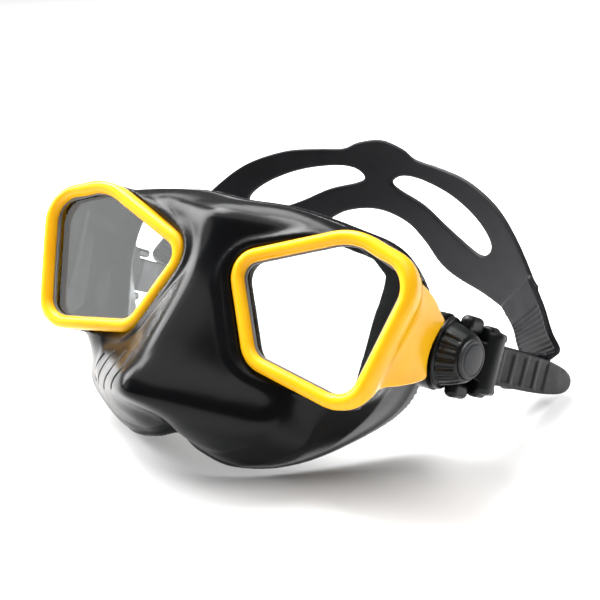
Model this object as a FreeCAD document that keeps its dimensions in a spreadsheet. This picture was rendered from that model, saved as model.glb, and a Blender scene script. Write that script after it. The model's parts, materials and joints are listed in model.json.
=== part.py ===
"""Low-volume two-lens diving mask with swivelling strap buckles and a split silicone head strap.

Two frames are used. The mask frame has the lenses in its XZ plane, looking along -Y, with the
middle plane of the face at X = 0. The rest frame is the mask frame leaned back until the skirt
and the two strap tails stand on the floor; the placement of every sub-part does that lean.
The wearer's left is at +X. Each left-hand piece is modelled, and its right-hand twin is mirrored.
"""
import FreeCAD, Part
import math
import os
from FreeCAD import Placement, Rotation, Vector

os.makedirs("parts", exist_ok=True)
doc = FreeCAD.newDocument("diving_mask")
sheet = doc.addObject("Spreadsheet::Sheet", "sizes")

DIMENSIONS = {
    # stance of the whole mask on the floor
    "lean_angle": 27.4,        # degrees that the lens plane leans back
    "stance_depth": -44.2,     # shift along Y that centres the object's box
    "stance_height": 60.95,    # lens centre above the floor
    # lens window and yellow frame
    "lens_centre": 44.0,       # middle plane to lens centre
    "rim_width": 5.5,
    "rim_front": 4.5,          # rim ahead of the lens plane
    "rim_back": 4.2,           # rim behind the lens plane
    "rim_round": 2.4,          # rounding of the rim's front edges
    "seat_step": 2.5,          # the lens seat is this much wider than the window
    "seal_height": 1.0,
    "lens_thickness": 3.0,
    "lens_overlap": 2.3,
    "retainer_height": 2.0,
    "fit_gap": 0.1,
    # skirt
    "skirt_wall": 2.2,
    "nose_wall": 2.0,
    # swivel
    "hub_depth": 40.5,         # hub axis behind the lens plane
    "hub_drop": -3.4,          # hub axis below the lens centres
    "hub_side": 76.0,          # middle plane to the hub's inner face
    "base_radius": 13.7,
    "socket_radius": 14.0,
    "base_height": 4.5,
    "pin_radius": 2.5,
    "pin_clearance": 0.05,
    "washer_height": 0.6,
    "washer_radius": 6.0,
    "hub_radius": 11.2,
    "hub_height": 11.3,
    "cap_radius": 7.0,
    "cap_height": 2.4,
    "splay_angle": 15.1,       # degrees that a buckle points outwards
    # buckle
    "rail_inside": 7.8,        # half the gap between the two rails
    "rail_outside": 11.5,
    "roller_reach": 24.0,      # hub axis to roller axis
    "roller_rise": 1.0,
    "roller_radius": 3.0,
    "axle_radius": 1.25,
    "tab_travel": 1.5,
    "tab_height": 6.0,
    # strap
    "strap_width": 14.5,
    "strap_thickness": 2.4,
    "strap_gap": 0.3,          # roller to strap
}
for row, (alias, value) in enumerate(DIMENSIONS.items(), start=1):
    sheet.set(f"A{row}", alias)
    sheet.set(f"B{row}", str(value))
    sheet.setAlias(f"B{row}", alias)
doc.recompute()


def size(alias):
    """A driving dimension as the sheet holds it."""
    return float(sheet.get(alias))


LEAN = Rotation(Vector(1, 0, 0), -size("lean_angle"))
HUB_POINT = Vector(size("hub_side"), size("hub_depth"), size("hub_drop"))
SPLAY = Placement(HUB_POINT, Rotation(Vector(0, 0, 1), -size("splay_angle")))

# The left window's corners about the lens centre (outwards, up, corner radius).
WINDOW_CORNERS = [
    (29.2, 16.0, 5.5),     # upper outer
    (9.0, 23.6, 18.0),     # brow
    (-29.6, 8.4, 4.5),     # nose, upper
    (-16.2, -18.8, 6.5),   # nose, lower
    (19.3, -25.0, 6.5),    # lower outer
]


def rounded_polygon(corners):
    """Closed wire in the XZ plane with a tangent arc at each (x, z, radius) corner."""
    count = len(corners)
    ends = []
    for index, (x, z, radius) in enumerate(corners):
        here = Vector(x, 0, z)
        before = Vector(corners[index - 1][0], 0, corners[index - 1][1]) - here
        after_corner = corners[(index + 1) % count]
        after = Vector(after_corner[0], 0, after_corner[1]) - here
        before.normalize()
        after.normalize()
        half = math.acos(before.dot(after)) / 2
        reach = radius / math.tan(half)
        inward = (before + after).normalize()
        middle = here + inward * (radius / math.sin(half) - radius)
        ends.append((here + before * reach, middle, here + after * reach))
    edges = []
    for index, (start, middle, end) in enumerate(ends):
        edges.append(Part.Arc(start, middle, end).toShape())
        edges.append(Part.LineSegment(end, ends[(index + 1) % count][0]).toShape())
    return Part.Wire(edges)


def window_wire(grow=0.0):
    """Outline of the left window, grown evenly, in the plane of the lenses."""
    wire = rounded_polygon([(size("lens_centre") + x, z, r) for x, z, r in WINDOW_CORNERS])
    return wire.makeOffset2D(grow) if grow else wire


def stand(sub_part, inner=None):
    """Give a sub-part its place in the rest frame; inner places it in the mask frame first."""
    inner = inner or Placement()
    shift = Vector(0, size("stance_depth"), size("stance_height"))
    sub_part.Placement = Placement(shift, LEAN) * inner * sub_part.Placement


def origin_plane(body, role):
    return next(item for item in body.Origin.OriginFeatures if item.Role == role)


def sketch_on(body, role, name, offset, wires):
    """Sketch on one of the body's own planes, offset along its normal, holding planar wires."""
    sketch = body.newObject("Sketcher::SketchObject", name)
    sketch.AttachmentSupport = [(origin_plane(body, role), "")]
    sketch.MapMode = "FlatFace"
    sketch.AttachmentOffset = Placement(Vector(0, 0, offset), Rotation())
    flat = {"XZ_Plane": Rotation(Vector(1, 0, 0), -90),
            "YZ_Plane": Rotation(Vector(1, 1, 1), -120)}[role]
    for wire in wires:
        for edge in wire.Edges:
            first = flat.multVec(edge.valueAt(edge.FirstParameter))
            last = flat.multVec(edge.valueAt(edge.LastParameter))
            if isinstance(edge.Curve, Part.Line):
                sketch.addGeometry(Part.LineSegment(first, last))
            elif edge.isClosed():
                centre = flat.multVec(edge.Curve.Center)
                sketch.addGeometry(Part.Circle(centre, Vector(0, 0, 1), edge.Curve.Radius))
            else:
                middle = (edge.FirstParameter + edge.LastParameter) / 2
                through = flat.multVec(edge.valueAt(middle))
                sketch.addGeometry(Part.Arc(first, through, last))
    return sketch


def pad(body, sketch, name, length):
    feature = body.newObject("PartDesign::Pad", name)
    feature.Profile = sketch
    feature.setExpression("Length", length)
    return feature


def ring(name, outside, inside, back, length):
    """Body of one flat ring or plate that follows the window, reaching forward from y = back."""
    body = doc.addObject("PartDesign::Body", name)
    wires = [outside] + ([inside] if inside else [])
    sketch = sketch_on(body, "XZ_Plane", name + "_outline", -back, wires)
    pad(body, sketch, name + "_pad", length)
    return body


def polygon(points):
    return Part.makePolygon([Vector(*point) for point in points + points[:1]])


def circle_x(radius, centre=HUB_POINT):
    """Circle about an axis along X."""
    return Part.Wire(Part.Circle(centre, Vector(1, 0, 0), radius).toShape())


def mirrored(source, name):
    """Right-hand twin of a left-hand piece."""
    twin = doc.addObject("Part::Mirroring", name)
    twin.Source = source
    twin.Normal = Vector(1, 0, 0)
    return twin


sub_parts = []


def keep(sub_part, name):
    """File a piece under its node name."""
    sub_part.Label = name
    sub_parts.append(sub_part)


def keep_pair(left, name, inner=None):
    """Stand a left-hand piece in the rest frame and file it with its twin."""
    stand(left, inner)
    keep(left, name + "_left")
    keep(mirrored(left, name + "_right_mirror"), name + "_right")


# ---------------------------------------------------------------- yellow frames and lenses

WING_ROOT = [(77.4, 17.0), (70.0, -19.5)]    # wing's outer face at the rim: top, bottom (x, z)
WING_TIP = [(78.0, 8.5), (77.0, -13.5)]      # the same at the wing's rear end
WING_THICKNESS = 2.8
WING_FRONT = 1.0
WING_REAR = 31.0
CLEAR_OF_ALL = 90.0        # farther out than any piece of one half


def wing_section(corners, depth):
    """Four-sided section of the wing at one depth."""
    (top_x, top_z), (low_x, low_z) = corners
    inner_top = (top_x - WING_THICKNESS, depth, top_z)
    inner_low = (low_x - WING_THICKNESS, depth, low_z)
    return polygon([(top_x, depth, top_z), inner_top, inner_low, (low_x, depth, low_z)])


def wing_room(inward):
    """Outline of the room outboard of the wing's inner face, moved inwards."""
    (top_x, top_z), (low_x, low_z) = WING_ROOT
    step = WING_THICKNESS + inward
    return polygon([(top_x - step, 0, top_z + inward), (CLEAR_OF_ALL, 0, top_z + inward),
                    (CLEAR_OF_ALL, 0, low_z - inward), (low_x - step, 0, low_z - inward)])


def frame():
    """Rounded rim with the lens seat behind it and the wing that reaches back to the hub."""
    body = ring("frame_body", window_wire(size("rim_width")), window_wire(), size("rim_back"),
                "sizes.rim_front + sizes.rim_back")
    root = sketch_on(body, "XZ_Plane", "wing_root", -WING_FRONT, [wing_section(WING_ROOT, 0)])
    tip = sketch_on(body, "XZ_Plane", "wing_tip", -WING_REAR, [wing_section(WING_TIP, 0)])
    wing = body.newObject("PartDesign::AdditiveLoft", "wing")
    wing.Profile = root
    wing.Sections = [tip]
    wing.Ruled = True
    seat_outline = window_wire(size("seat_step"))
    seat = sketch_on(body, "XZ_Plane", "seat_outline", -size("rim_back"), [seat_outline])
    seat_pocket = body.newObject("PartDesign::Pocket", "lens_seat")
    seat_pocket.Profile = seat
    seat_pocket.Reversed = True
    seat_pocket.setExpression("Length", "sizes.rim_back + sizes.seal_height / 2")
    through = sketch_on(body, "XZ_Plane", "window_outline", -WING_REAR, [window_wire()])
    window = body.newObject("PartDesign::Pocket", "window")
    window.Profile = through
    window.Reversed = True
    window.Length = WING_REAR + 2 * size("rim_front")
    socket = sketch_on(body, "YZ_Plane", "socket_outline", size("lens_centre"),
                       [circle_x(size("socket_radius"))])
    scoop = body.newObject("PartDesign::Pocket", "socket")
    scoop.Profile = socket
    scoop.Reversed = True
    scoop.Length = 2 * size("lens_centre")
    doc.recompute()
    front = [f"Edge{number}" for number, edge in enumerate(scoop.Shape.Edges, start=1)
             if abs(edge.BoundBox.YMin + size("rim_front")) < 0.01
             and abs(edge.BoundBox.YMax + size("rim_front")) < 0.01]
    rounding = body.newObject("PartDesign::Fillet", "rim_rounding")
    rounding.Base = (scoop, front)
    rounding.setExpression("Radius", "sizes.rim_round")
    body.Tip = rounding
    return body


seal_back = size("seal_height") / 2 - size("fit_gap")
lens_back = seal_back + size("lens_thickness")
frame_left = frame()
keep_pair(frame_left, "frame")
keep_pair(ring("seal_body", window_wire(size("lens_overlap")), window_wire(0.3), seal_back,
               "sizes.seal_height - sizes.fit_gap"), "lens_seal")
keep_pair(ring("lens_body", window_wire(size("lens_overlap")), None, lens_back,
               "sizes.lens_thickness"), "lens")
retainer_front = size("rim_back") + size("fit_gap")
retainer_back = retainer_front + size("retainer_height")
RETAINER_INSIDE = 2.7
RETAINER_OUTSIDE = 5.3
retainer = ring("retainer_body", window_wire(RETAINER_OUTSIDE), window_wire(RETAINER_INSIDE),
                retainer_back, "sizes.retainer_height")
notch = retainer.newObject("PartDesign::Pocket", "retainer_wing_room")
notch.Profile = sketch_on(retainer, "XZ_Plane", "retainer_wing_outline", -retainer_back,
                          [wing_room(2 * size("fit_gap"))])
notch.Reversed = True
notch.setExpression("Length", "2 * sizes.retainer_height")
keep_pair(retainer, "lens_retainer")

# ---------------------------------------------------------------- skirt

# Right half of the skirt's outline at four depths: (x, z) from the brow down to the lip.
SKIRT_SECTIONS = {
    2.0: [(0, 30), (20, 29.5), (42, 26.5), (56, 21.5), (63, 8), (63, -8), (57, -24), (47, -37),
          (34, -47), (20, -50), (9, -49), (0, -47)],
    10.0: [(0, 32), (20, 32.5), (42, 29.5), (58, 24.5), (66, 10), (66, -8), (62, -26), (53, -41),
           (40, -54), (24, -59), (10, -57.5), (0, -54)],
    26.0: [(0, 33.5), (20, 34), (42, 31), (58, 26), (67, 11), (67, -8), (63, -26), (53.5, -40.5),
           (40, -53), (25, -58.5), (10, -58), (0, -55)],
    66.0: [(0, 35), (20, 35.5), (42, 32.5), (58, 27), (67.5, 12), (67.5, -8), (63, -26),
           (53.5, -40), (40, -52), (26, -57), (11, -57), (0, -55)],
}

# Nose pocket: height, ridge depth and half width.
NOSE_SECTIONS = [(22, -4.5, 8), (3, -7.6, 10), (-8, -12.4, 13), (-19, -17.6, 15.5),
                 (-29, -22.8, 17.5), (-38, -27.0, 18), (-44, -19.0, 15)]
NOSE_BACK = 12.0

# Face that the skirt seals on: height, depth of its front, half width.
FACE_SECTIONS = [(-80, 6, 50), (-50, 8, 58), (0, 11, 75), (45, 16, 86)]
FACE_LENGTH = 60.0


def inset(points, amount):
    """Half outline moved inwards by amount, square to its own run."""
    moved = []
    for index, (x, z) in enumerate(points):
        if index == 0:
            moved.append((x, z - amount))
        elif index == len(points) - 1:
            moved.append((x, z + amount))
        else:
            run_x = points[index + 1][0] - points[index - 1][0]
            run_z = points[index + 1][1] - points[index - 1][1]
            length = math.hypot(run_x, run_z)
            moved.append((x + amount * run_z / length, z - amount * run_x / length))
    return moved


def closed_spline(points):
    curve = Part.BSplineCurve()
    curve.interpolate(Points=[Vector(*point) for point in points], PeriodicFlag=True)
    return Part.Wire(curve.toShape())


def skirt_bag(inward, first_depth):
    """Closed solid of the skirt's outline, moved inwards, from first_depth to the back."""
    wires = []
    for depth, half in SKIRT_SECTIONS.items():
        points = inset(half, inward) if inward else half
        full = points + [(-x, z) for x, z in points[-2:0:-1]]
        level = max(depth, first_depth) if depth == min(SKIRT_SECTIONS) else depth
        wires.append(closed_spline([(x, level, z) for x, z in full]))
    return Part.makeLoft(wires, True, False)


def nose_bag(inward):
    """Wedge over the nose: ridge in front, sides curving back to the cheeks."""
    wires = []
    for height, ridge, half in NOSE_SECTIONS:
        front = ridge + inward
        side = half - inward
        run = NOSE_BACK - front
        level = min(height, NOSE_SECTIONS[0][0] - inward)
        level = max(level, NOSE_SECTIONS[-1][0] + inward)
        right = [(0.55 * side, front + 0.16 * run, level), (0.85 * side, front + 0.45 * run, level),
                 (side, NOSE_BACK, level)]
        left = [(-x, y, z) for x, y, z in right[::-1]]
        curve = Part.BSplineCurve()
        curve.interpolate(Points=[Vector(*p) for p in left + [(0, front, level)] + right])
        back = Part.LineSegment(Vector(*right[-1]), Vector(*left[0]))
        wires.append(Part.Wire([curve.toShape(), back.toShape()]))
    return Part.makeLoft(wires, True, False)


TUNNEL_SHRINK = 0.84       # a tunnel's rear outline against the window
TUNNEL_INBOARD = 8.0
TUNNEL_DEPTH = 30.0


def tunnel(grow, start, end):
    """Tapered solid from the window's outline back into the skirt."""
    rear = [(size("lens_centre") - TUNNEL_INBOARD + TUNNEL_SHRINK * x, TUNNEL_SHRINK * z, r)
            for x, z, r in WINDOW_CORNERS]
    front_wire = window_wire(grow)
    front_wire.translate(Vector(0, start, 0))
    rear_wire = rounded_polygon(rear).makeOffset2D(grow)
    rear_wire.translate(Vector(0, end, 0))
    return Part.makeLoft([front_wire, rear_wire], True, True)


def face_solid():
    """Front of a head, an ellipse at each height, that trims the skirt's sealing edge."""
    wires = []
    for height, front, half_width in FACE_SECTIONS:
        centre = Vector(0, front + FACE_LENGTH, height)
        steps = [2 * math.pi * number / 12 for number in range(12)]
        points = [centre + Vector(half_width * math.sin(angle), -FACE_LENGTH * math.cos(angle), 0)
                  for angle in steps]
        wires.append(closed_spline([tuple(point) for point in points]))
    return Part.makeLoft(wires, True, False)


def prism_y(wire, start, end):
    """Solid between two depths with a wire of the lens plane as its section."""
    face = Part.Face(wire)
    face.translate(Vector(0, start, 0))
    return face.extrude(Vector(0, end - start, 0))


def both_sides(solid):
    return solid.fuse(solid.mirror(Vector(0, 0, 0), Vector(1, 0, 0)))


def skirt():
    """Moulded silicone shell: lens flanges, nose pocket and the edge that seals on the face."""
    wall = size("skirt_wall")
    flange_back = retainer_back + wall
    rim = size("rim_width")
    shell = skirt_bag(0, 0).fuse(nose_bag(0))
    shell = shell.fuse(both_sides(tunnel(rim, flange_back, TUNNEL_DEPTH)))
    hollow = skirt_bag(wall, min(SKIRT_SECTIONS) + wall).fuse(nose_bag(size("nose_wall")))
    hollow = hollow.fuse(both_sides(tunnel(rim - wall, flange_back, TUNNEL_DEPTH + wall)))
    inside_wing = prism_y(wing_room(2 * size("fit_gap") + wall), 0, WING_REAR)
    shell = shell.cut(hollow.cut(both_sides(inside_wing)))
    flange_front = lens_back + size("fit_gap")
    flange = prism_y(window_wire(rim), flange_front, flange_back)
    shell = shell.fuse(both_sides(flange))
    gap = size("fit_gap")
    rim_room = prism_y(window_wire(rim + gap), -CLEAR_OF_ALL, size("rim_back") + gap)
    lip = prism_y(window_wire(size("seat_step") - gap), flange_front, size("rim_back") + 2 * gap)
    lip_room = rim_room.cut(lip)
    ring_room = prism_y(window_wire(RETAINER_OUTSIDE + gap), size("rim_back"),
                        retainer_back + gap)
    ring_room = ring_room.cut(prism_y(window_wire(RETAINER_INSIDE - gap), 0, WING_REAR))
    window = prism_y(window_wire(), 0, flange_back + gap)
    beside_wing = prism_y(wing_room(2 * gap), 0, WING_REAR)
    for tool in (lip_room, ring_room, window, beside_wing):
        shell = shell.cut(both_sides(tool))
    return shell.cut(face_solid())


skirt_part = doc.addObject("Part::Feature", "skirt_shape")
skirt_part.Shape = skirt()
stand(skirt_part)
keep(skirt_part, "skirt")

# ---------------------------------------------------------------- swivel


def cylinder_x(name, radius, start, length):
    """Part::Cylinder about the hub axis, from x = start, in the mask frame."""
    item = doc.addObject("Part::Cylinder", name)
    item.setExpression("Radius", radius)
    item.setExpression("Height", length)
    item.Placement = Placement(Vector(start, HUB_POINT.y, HUB_POINT.z),
                               Rotation(Vector(0, 1, 0), 90))
    return item


def block(name, low, high):
    """Part::Box between two corners."""
    item = doc.addObject("Part::Box", name)
    item.Length = high[0] - low[0]
    item.Width = high[1] - low[1]
    item.Height = high[2] - low[2]
    item.Placement = Placement(Vector(*low), Rotation())
    return item


def joined(name, pieces):
    item = doc.addObject("Part::MultiFuse", name)
    item.Shapes = pieces
    return item


def cut(name, base, tool):
    item = doc.addObject("Part::Cut", name)
    item.Base = base
    item.Tool = tool
    return item


base_outer = size("hub_side") - size("washer_height") - size("fit_gap")
base_inner = base_outer - size("base_height")
TONGUE_FRONT = 24.0
TONGUE_HALF = 6.0
TONGUE_HEIGHT = 2.4
PIN_HEAD_HEIGHT = 1.8
PIN_HEAD_RADIUS = 4.5
PIN_REACH = 5.4            # pin beyond the hub's inner face
CLIP_PLACE = 3.4           # clip beyond the hub's inner face
CLIP_HEIGHT = 0.8
CLIP_RADIUS = 3.9
CLIP_ROOM = 4.3

# Round base in the wing's socket, with a tongue under the wing.
tongue = block("base_tongue", (base_inner, TONGUE_FRONT, HUB_POINT.z - TONGUE_HALF),
               (base_inner + TONGUE_HEIGHT, HUB_POINT.y, HUB_POINT.z + TONGUE_HALF))
base_blank = joined("base_blank", [
    cylinder_x("base_disc", "sizes.base_radius", base_inner, "sizes.base_height"), tongue])
base_bored = cut("base_bored", base_blank,
                 cylinder_x("base_bore", "sizes.pin_radius", base_inner - 1,
                            "sizes.base_height + 2"))
frame_print = doc.addObject("Part::Feature", "frame_print")
frame_print.Shape = frame_left.Shape.copy()
frame_print.Placement = Placement()
keep_pair(cut("base_cut", base_bored, frame_print), "hub_base")

# Headed pin, fixed in the base, that the buckle turns on.
pin = joined("pin_solid", [
    cylinder_x("pin_shank", "sizes.pin_radius", base_inner,
               f"sizes.base_height + sizes.washer_height + sizes.fit_gap + {PIN_REACH}"),
    cylinder_x("pin_head", str(PIN_HEAD_RADIUS), base_inner - PIN_HEAD_HEIGHT,
               str(PIN_HEAD_HEIGHT))])
keep_pair(pin, "pivot_pin")


def washer(name, radius, bore, start, height):
    return cut(name, cylinder_x(name + "_disc", radius, start, height),
               cylinder_x(name + "_bore", bore, start - 1, height + " + 2"))


keep_pair(washer("washer_solid", "sizes.washer_radius", "sizes.pin_radius", base_outer,
                 "sizes.washer_height"), "friction_washer")
keep_pair(washer("clip_solid", str(CLIP_RADIUS), "sizes.pin_radius",
                 size("hub_side") + CLIP_PLACE, str(CLIP_HEIGHT)), "pivot_clip")

# ---------------------------------------------------------------- buckle
# Buckle frame: X out of the buckle's face, Y along it towards the strap, Z across it.

DECK = ((-1.0, 4.5), (6.0, 17.0))            # x and y limits of the deck that holds the tabs
RAILS = ((-5.4, 15.0), (7.3, 27.0))          # x and y limits of the two rails
BRIDGE = ((7.3, 15.0), (9.8, 25.0))          # x and y limits of the bar over the strap's tail
TAB = ((0.0, 3.6), (5.0, 13.6))              # x and y limits of a release tab
TAB_ROOT = 8.6                               # inner end of a tab, from the buckle's middle
TAB_GAP = 0.3
CAP_SINK = 0.8
HUB_ROOM = 12.0                              # length of the tools that clear the hub
DRUM_HEIGHT = 4.5
DOME_START = 2.0                             # the cone starts this far out, inside the drum
DOME_LIP = 0.7                               # width of the dome's rim around the cap
CAP_GAP = 0.05                               # radial gap around the cap
CAP_ROOM_HEIGHT = 5.0
CAP_EDGE = 1.0                               # fillet radius of the cap
TAB_EDGE = 1.6                               # fillet radius of the tabs

spin = Rotation(Vector(0, 0, 1), size("splay_angle"))


def hub_cylinder(name, radius, start, length):
    """Part::Cylinder about the true hub axis, in the buckle frame."""
    item = doc.addObject("Part::Cylinder", name)
    item.setExpression("Radius", radius)
    item.setExpression("Height", length)
    item.Placement = Placement(spin.multVec(Vector(start, 0, 0)),
                               spin * Rotation(Vector(0, 1, 0), 90))
    return item


def face_cylinder(name, radius, start, length):
    """Part::Cylinder square to the buckle's face, in the buckle frame."""
    item = doc.addObject("Part::Cylinder", name)
    item.setExpression("Radius", radius)
    item.setExpression("Height", length)
    item.Placement = Placement(Vector(start, 0, 0), Rotation(Vector(0, 1, 0), 90))
    return item


def cross_cylinder(name, radius, half_length):
    """Part::Cylinder along the roller axis, in the buckle frame."""
    item = doc.addObject("Part::Cylinder", name)
    item.setExpression("Radius", radius)
    item.Height = 2 * half_length
    item.Placement = Placement(Vector(size("roller_rise"), size("roller_reach"), -half_length),
                               Rotation())
    return item


def limits(pair, low, high):
    """Corners of a box from its x and y limits and two heights."""
    (x_low, y_low), (x_high, y_high) = pair
    return (x_low, y_low, low), (x_high, y_high, high)


rail_in, rail_out = size("rail_inside"), size("rail_outside")
dome = doc.addObject("Part::Cone", "hub_dome")
dome.setExpression("Radius1", "sizes.hub_radius")
dome.setExpression("Radius2", f"sizes.cap_radius + {DOME_LIP}")
dome.setExpression("Height", f"sizes.hub_height - {DOME_START}")
dome.Placement = Placement(Vector(DOME_START, 0, 0), Rotation(Vector(0, 1, 0), 90))
buckle_blank = joined("buckle_blank", [
    dome,
    hub_cylinder("hub_drum", "sizes.hub_radius", 0, str(DRUM_HEIGHT)),
    block("buckle_deck", *limits(DECK, -rail_out, rail_out)),
    block("upper_rail", *limits(RAILS, rail_in, rail_out)),
    block("lower_rail", *limits(RAILS, -rail_out, -rail_in)),
    block("tail_bridge", *limits(BRIDGE, -rail_out, rail_out))])
tab_room = ((TAB[0][0] - TAB_GAP, TAB[0][1] - TAB_GAP), (TAB[1][0] + TAB_GAP, TAB[1][1] + TAB_GAP))
room_root = TAB_ROOT - size("tab_travel") - TAB_GAP
buckle_tools = joined("buckle_tools", [
    hub_cylinder("hub_bore", "sizes.pin_radius + sizes.pin_clearance", -HUB_ROOM,
                 str(3 * HUB_ROOM)),
    hub_cylinder("clip_room", str(CLIP_ROOM), CLIP_PLACE - TAB_GAP, str(HUB_ROOM)),
    hub_cylinder("washer_room", "sizes.socket_radius", -HUB_ROOM, str(HUB_ROOM)),
    face_cylinder("cap_room", f"sizes.cap_radius + {CAP_GAP}", size("hub_height") - CAP_SINK,
                  str(CAP_ROOM_HEIGHT)),
    block("upper_tab_room", *limits(tab_room, room_root, rail_out + 5)),
    block("lower_tab_room", *limits(tab_room, -rail_out - 5, -room_root)),
    cross_cylinder("axle_bore", "sizes.axle_radius", rail_out)])
keep_pair(cut("buckle_cut", buckle_blank, buckle_tools), "buckle_body", SPLAY)

# Cap that closes the hub.
cap = doc.addObject("Part::Fillet", "cap_rounded")
cap_disc = face_cylinder("cap_disc", "sizes.cap_radius", size("hub_height") - CAP_SINK,
                         "sizes.cap_height")
doc.recompute()
cap.Base = cap_disc
top_edge = next(number for number, edge in enumerate(cap_disc.Shape.Edges, start=1)
                if edge.BoundBox.XMin > size("hub_height"))
cap.Edges = [(top_edge, CAP_EDGE, CAP_EDGE)]
keep_pair(cap, "hub_cap", SPLAY)

# Roller on its axle.
AXLE_INSET = 0.4
keep_pair(cross_cylinder("axle_solid", "sizes.axle_radius", rail_out - AXLE_INSET),
          "roller_axle", SPLAY)
roller_half = rail_in - TAB_GAP
keep_pair(cut("roller_solid", cross_cylinder("roller_drum", "sizes.roller_radius", roller_half),
              cross_cylinder("roller_bore", "sizes.axle_radius + sizes.pin_clearance",
                             roller_half)),
          "strap_roller", SPLAY)


def tab(name, side):
    """Release tab that slides in across the buckle."""
    root = TAB_ROOT
    tip = TAB_ROOT + size("tab_height")
    low, high = sorted((side * root, side * tip))
    solid = doc.addObject("Part::Fillet", name + "_rounded")
    solid.Base = block(name + "_block", *limits(TAB, low, high))
    doc.recompute()
    outer = [number for number, edge in enumerate(solid.Base.Shape.Edges, start=1)
             if abs(edge.BoundBox.ZMin - side * tip) < 0.01
             and abs(edge.BoundBox.ZMax - side * tip) < 0.01]
    solid.Edges = [(number, TAB_EDGE, TAB_EDGE) for number in outer]
    return solid


keep_pair(tab("upper_tab", 1), "upper_release_tab", SPLAY)
keep_pair(tab("lower_tab", -1), "lower_release_tab", SPLAY)

# ---------------------------------------------------------------- strap
# The strap is laid out in the level frame: the rest frame before its shift to the floor.

BAND_BACK = 128.0          # depth of the strap's middle
BAND_CURVE = 0.004         # y = BAND_BACK - BAND_CURVE x^2
BAND_REACH = 100.0         # half size of the curved sheet that the band is cut from
BAND_TOP = [(0, 23), (11, 20.5), (18, 17), (30, 15.7), (45, 13.5), (61, 7), (73, -3), (84, -16),
            (90, -23)]
BAND_LOW = [(76, -38), (70, -34), (58, -33), (44, -30.5), (34, -26.5), (25, -18.5), (15, -12)]
BAND_LOW_MIDDLE = (0, -9)
SLOT = [(7, 5), (12, 8.5), (22, 8.6), (38, 5), (52, -1.5), (60, -9), (59, -14.5), (53, -16),
        (38, -10), (24, -2.5), (11, 2)]
# Edges of the arm between the band and the straight run to the buckle: outer edge, inner edge.
ARM_STATIONS = [
    ((84.0, 99.8, -16.0), (70.0, 108.4, -34.0)),
    ((91.5, 94.5, -25.0), (77.0, 104.3, -40.5)),
    ((97.0, 90.4, -33.0), (82.0, 101.1, -48.5)),
    ((98.8, 89.5, -39.0), (88.0, 98.2, -53.5)),
]


def strap_line(along, rise):
    """Level-frame point of the buckle's middle line, and the two directions across it."""
    place = Placement(Vector(), LEAN) * SPLAY
    centre = place.multVec(Vector(rise, along, 0))
    return centre, place.Rotation.multVec(Vector(0, 0, 1)), place.Rotation.multVec(Vector(1, 0, 0))


def strap_box(centre, across, normal, width):
    """Rectangle of the strap's section."""
    side = across * (width / 2)
    half = normal * (size("strap_thickness") / 2)
    corners = [centre + side + half, centre + side - half, centre - side - half,
               centre - side + half]
    return Part.makePolygon(corners + corners[:1])


NEAR_END = 56.0            # along the buckle line, where the strap turns towards the band
TAIL_END = 81.0
TURN_STEPS = 6
TAIL_TAPER = [(9, 1.0), (3, 0.8), (0, 0.45)]     # before the tail's end, share of the width


def strap_arm():
    """Left arm: from the band, round its bend, to the roller and back along the tail."""
    sections = []
    centres = []
    for outer, inner in ARM_STATIONS:
        outer_point, inner_point = Vector(*outer), Vector(*inner)
        centres.append(((outer_point + inner_point) / 2, outer_point - inner_point))
    turn_radius = size("roller_radius") + size("strap_gap") + size("strap_thickness") / 2
    near_rise = size("roller_rise") - turn_radius
    near, across, face = strap_line(NEAR_END, near_rise)
    width = size("strap_width")
    for index, (centre, span) in enumerate(centres):
        follow = centres[index + 1][0] if index + 1 < len(centres) else near
        run = follow - (centres[index - 1][0] if index else centre)
        normal = run.cross(span).normalize()
        sections.append(strap_box(centre, span.normalize(), normal,
                                  (Vector(*ARM_STATIONS[index][0])
                                   - Vector(*ARM_STATIONS[index][1])).Length))
    sections.append(strap_box(near, across, face, width))
    for step in range(TURN_STEPS + 1):
        angle = math.pi * step / TURN_STEPS
        along = size("roller_reach") - turn_radius * math.sin(angle)
        rise = size("roller_rise") - turn_radius * math.cos(angle)
        centre, across, _ = strap_line(along, rise)
        place = Placement(Vector(), LEAN) * SPLAY
        normal = place.Rotation.multVec(Vector(math.cos(angle), math.sin(angle), 0))
        sections.append(strap_box(centre, across, normal, width))
    for short, taper in TAIL_TAPER:
        centre, across, face = strap_line(TAIL_END - short, size("roller_rise") + turn_radius)
        sections.append(strap_box(centre, across, -face, width * taper))
    return sections


def strap_band():
    """Wide rear band with its two slots, on a curved sheet."""
    right = BAND_TOP[1:] + BAND_LOW
    left = [(-x, z) for x, z in right[::-1]]
    outline = closed_spline([(x, 0, z) for x, z in BAND_TOP[:1] + right + [BAND_LOW_MIDDLE] + left])
    blank = Part.Face(outline).extrude(Vector(0, 2 * BAND_BACK, 0))
    for side in (1, -1):
        slot = Part.Face(closed_spline([(side * x, -1, z) for x, z in SLOT]))
        blank = blank.cut(slot.extrude(Vector(0, 2 * BAND_BACK + 2, 0)))
    steps = [share * BAND_REACH for share in (-1, -0.5, 0, 0.5, 1)]
    thick = size("strap_thickness")
    inner = Part.BSplineCurve()
    inner.interpolate(Points=[Vector(x, BAND_BACK - BAND_CURVE * x * x, -BAND_REACH)
                              for x in steps])
    outer = Part.BSplineCurve()
    outer.interpolate(Points=[Vector(x, BAND_BACK + thick - BAND_CURVE * x * x, -BAND_REACH)
                              for x in steps])
    ends = [Part.LineSegment(inner.value(1.0), outer.value(1.0)),
            Part.LineSegment(inner.value(0.0), outer.value(0.0))]
    sheet_wire = Part.Wire(Part.sortEdges([inner.toShape(), outer.toShape()]
                                          + [end.toShape() for end in ends])[0])
    curved = Part.Face(sheet_wire).extrude(Vector(0, 0, 2 * BAND_REACH))
    return blank.common(curved)


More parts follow.
